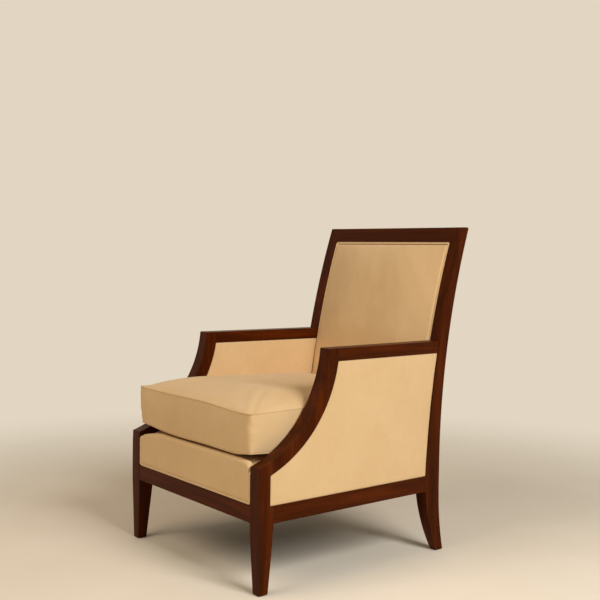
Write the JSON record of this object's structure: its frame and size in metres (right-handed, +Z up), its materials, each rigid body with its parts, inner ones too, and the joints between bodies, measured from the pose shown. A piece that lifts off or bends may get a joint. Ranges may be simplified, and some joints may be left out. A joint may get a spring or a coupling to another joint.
{
  "type": "lounge chair",
  "caption": "Low armchair with a dark show-wood frame, swept arm supports, raked upholstered back, sabre rear legs and a thick loose seat cushion.",
  "frame": {"origin": "middle of the chair's outline on the floor, at floor level", "axes": "+Z up; the sitter faces -Y; +X is the sitter's left"},
  "size_m": [0.66, 0.758, 0.941],
  "materials": {
    "show_wood": "dark red-brown mahogany, satin lacquer",
    "frame_wood": "planed pale hardwood, unfinished",
    "upholstery": "plain camel microsuede, soft nap",
    "webbing": "woven upholstery webbing",
    "foam": "cut foam, matte",
    "dust_cloth": "thin black cambric, matte",
    "steel": "zinc-plated, satin",
    "glide": "hard dark plastic, matte"
  },
  "bodies": {
    "frame": {"front_leg_left": "show_wood", "front_leg_right": "show_wood", "rear_leg_left": "show_wood", "rear_leg_right": "show_wood", "arm_support_left": "show_wood", "arm_support_right": "show_wood", "arm_left": "show_wood", "arm_right": "show_wood", "crest_rail": "show_wood", "lower_back_rail": "frame_wood", "front_seat_rail": "show_wood", "rear_seat_rail": "show_wood", "side_seat_rail_left": "show_wood", "side_seat_rail_right": "show_wood", "front_spring_rail": "frame_wood", "rear_spring_rail": "frame_wood", "side_spring_rail_left": "frame_wood", "side_spring_rail_right": "frame_wood", "arm_battens_left": "frame_wood", "arm_battens_right": "frame_wood", "back_battens": "frame_wood", "corner_blocks": "frame_wood", "corner_screws": "steel", "joint_dowels": "frame_wood", "foot_glides": "glide", "seat_webbing_long": "webbing", "seat_webbing_cross": "webbing", "arm_webbing_left": "webbing", "arm_webbing_right": "webbing", "back_webbing": "webbing", "deck_pad": "upholstery", "front_panel": "upholstery", "front_panel_welt": "upholstery", "outside_arm_left": "upholstery", "outside_arm_right": "upholstery", "inside_arm_left": "upholstery", "inside_arm_right": "upholstery", "inside_back": "upholstery", "back_welt": "upholstery", "outside_back": "upholstery", "dust_cover": "dust_cloth"},
    "cushion": {"seat_cushion": "upholstery", "cushion_core": "foam"}
  },
  "joints": [
    {"name": "cushion_lift", "type": "slide", "parent": "frame", "child": "cushion", "axis": [0, 0, 1], "range_m": [0, 0.33]}
  ]
}
